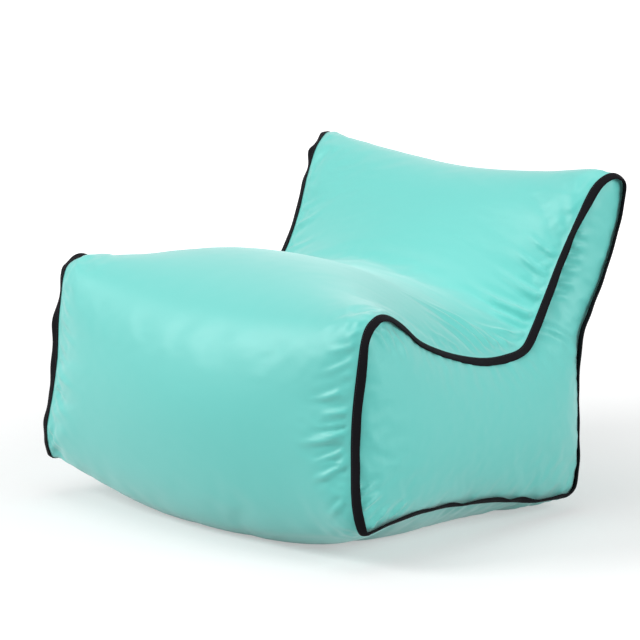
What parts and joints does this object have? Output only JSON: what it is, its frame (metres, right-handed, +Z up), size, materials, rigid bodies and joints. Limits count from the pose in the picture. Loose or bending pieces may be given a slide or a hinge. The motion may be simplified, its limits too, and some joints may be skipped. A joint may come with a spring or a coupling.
{
  "type": "inflatable baby seat",
  "caption": "Low inflatable lounge seat for a small child: sewn cloth cover with dark bound seams over an air bladder, with a rear zip and a screw valve.",
  "frame": {"origin": "on the floor, under the middle of the seat's bounding box", "axes": "+X across the seat to the sitter's left, -Y to the front, +Z up"},
  "size_m": [0.5776, 0.5562, 0.4171],
  "materials": {
    "cover_cloth": "plain-woven coated polyester with a faint sheen",
    "binding_tape": "ribbed woven tape, matt",
    "zip_tape": "herringbone woven tape, matt",
    "bladder_film": "welded film, smooth",
    "zip_plastic": "moulded",
    "zip_metal": "lacquered die casting",
    "valve_plastic": "moulded",
    "valve_rubber": "moulded, soft"
  },
  "bodies": {
    "cover": {"seat_panel": "cover_cloth", "base_panel": "cover_cloth", "side_panel_left": "cover_cloth", "side_panel_right": "cover_cloth", "seam_tape_left": "binding_tape", "seam_tape_right": "binding_tape", "air_bladder": "bladder_film", "zip_tape_upper": "zip_tape", "zip_tape_lower": "zip_tape", "zip_teeth_upper": "zip_plastic", "zip_teeth_lower": "zip_plastic", "zip_end_stop_upper": "zip_plastic", "zip_end_stop_lower": "zip_plastic", "zip_closing_stop": "zip_plastic", "valve_base": "valve_plastic", "valve_insert": "valve_plastic", "valve_hole_ring": "valve_plastic", "cap_tether": "valve_rubber"},
    "slider": {"zip_slider": "zip_metal"},
    "pull": {"zip_pull": "zip_metal"},
    "flap": {"valve_flap": "valve_rubber"},
    "seal": {"cap_seal": "valve_rubber"},
    "cap": {"valve_cap": "valve_plastic"}
  },
  "joints": [
    {"name": "zip_travel", "type": "hinge", "parent": "cover", "child": "slider", "pos_m": [0, -0.59079, 0.16046], "axis": [0, 0, 1], "range_deg": [0, 14.2], "deforming": ["zip_teeth_upper", "zip_teeth_lower"]},
    {"name": "pull_swing", "type": "hinge", "parent": "slider", "child": "pull", "pos_m": [0.10119, 0.21718, 0.16046], "axis": [0, 0, -1], "range_deg": [0, 175]},
    {"name": "flap_open", "type": "slide", "parent": "cover", "child": "flap", "axis": [0, -1, 0], "range_m": [0, 0.0015]},
    {"name": "cap_lift", "type": "slide", "parent": "cover", "child": "seal", "axis": [0, 1, 0], "range_m": [0, 0.005], "deforming": ["cap_tether"]},
    {"name": "cap_turn", "type": "hinge", "parent": "seal", "child": "cap", "pos_m": [0, 0.2264, 0.09492], "axis": [0, 1, 0], "range_deg": [0, 900]}
  ],
  "couplings": [
    {"joint": "cap_lift", "follows": "cap_turn", "m_per_rad": 0.0003183}
  ]
}
